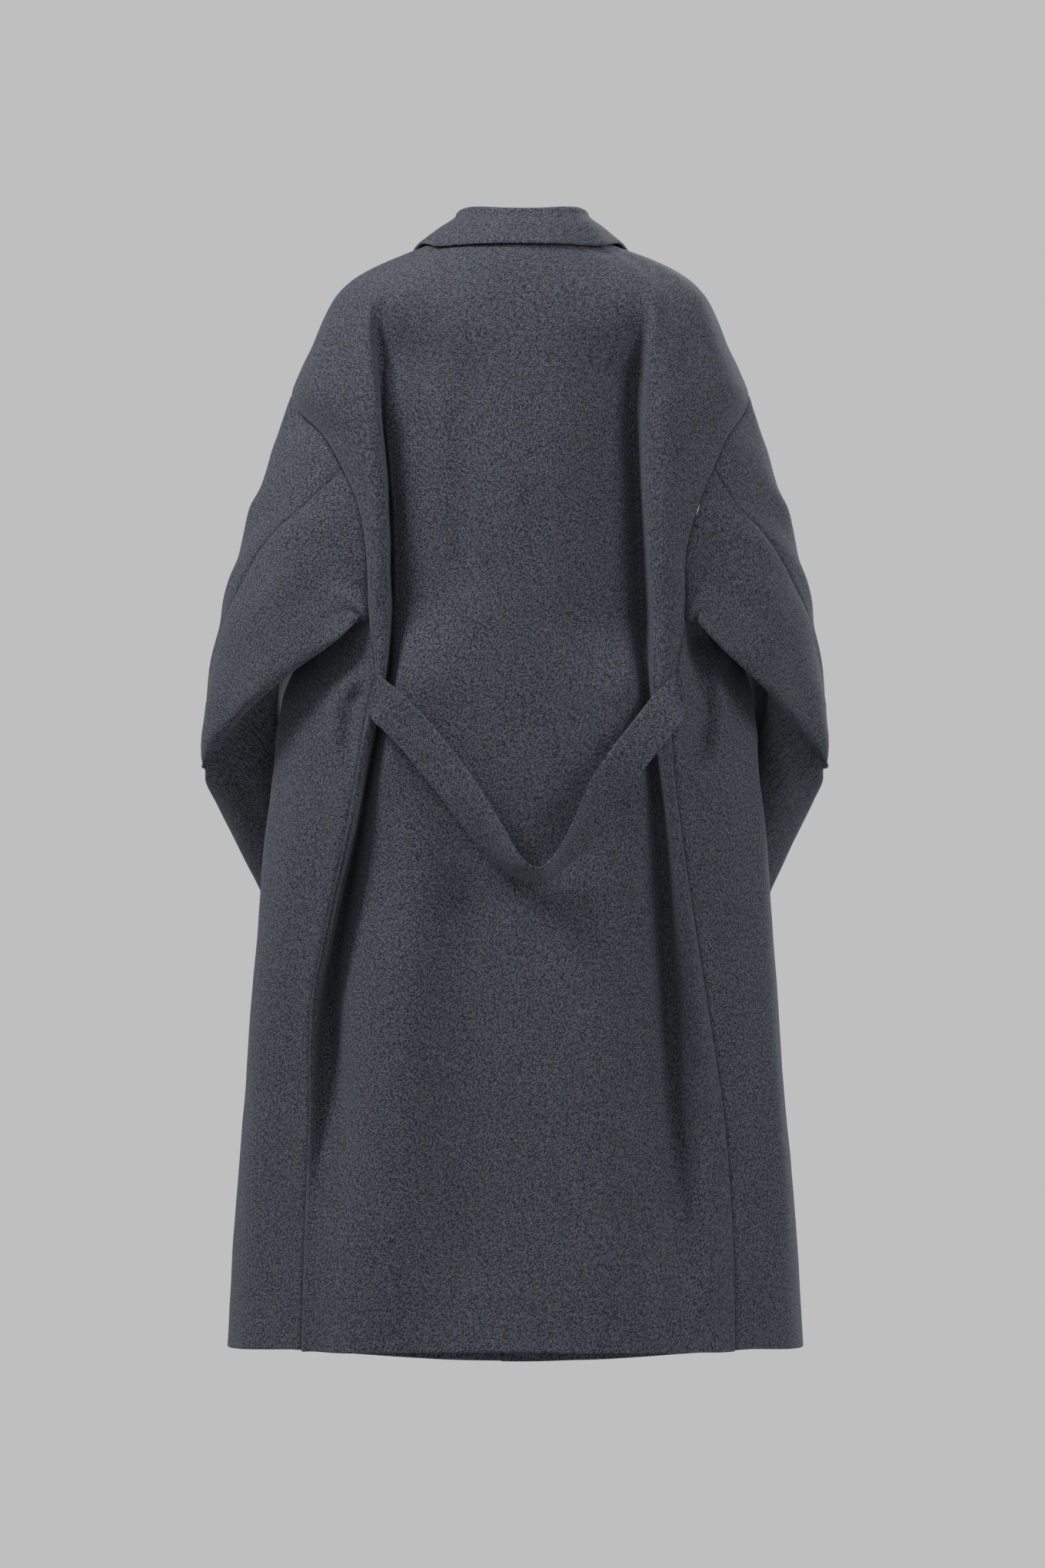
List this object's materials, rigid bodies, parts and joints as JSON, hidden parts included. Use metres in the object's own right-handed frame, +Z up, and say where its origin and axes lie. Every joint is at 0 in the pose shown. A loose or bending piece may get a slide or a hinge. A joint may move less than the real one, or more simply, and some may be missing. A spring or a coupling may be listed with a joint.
{
  "type": "long coat",
  "caption": "Long loose wool coat filled out with no wearer: small turn-down collar, dropped shoulders, bent two-piece sleeves and a slack half belt across the back.",
  "frame": {"origin": "on the centre plane at shoulder height by the base of the neck, where the wearer's or hanger's shoulders hold the coat", "axes": "+Z up, +X towards the wearer's left, the front faces -Y and the back with its half belt faces +Y"},
  "size_m": [0.656, 0.3819, 1.2128],
  "materials": {
    "wool": "heathered slate blue woollen twill",
    "facing_wool": "the same cloth on the inside of the front edges",
    "horn": "dark satin horn-like buttons"
  },
  "bodies": {
    "root": {"back": "wool", "front_left": "wool", "front_right": "wool", "facing_left": "facing_wool", "facing_right": "facing_wool", "collar": "wool", "sleeve_top_left": "wool", "sleeve_under_left": "wool", "sleeve_top_right": "wool", "sleeve_under_right": "wool", "half_belt": "wool", "button_1": "horn", "button_2": "horn", "button_3": "horn", "button_4": "horn"}
  },
  "joints": []
}
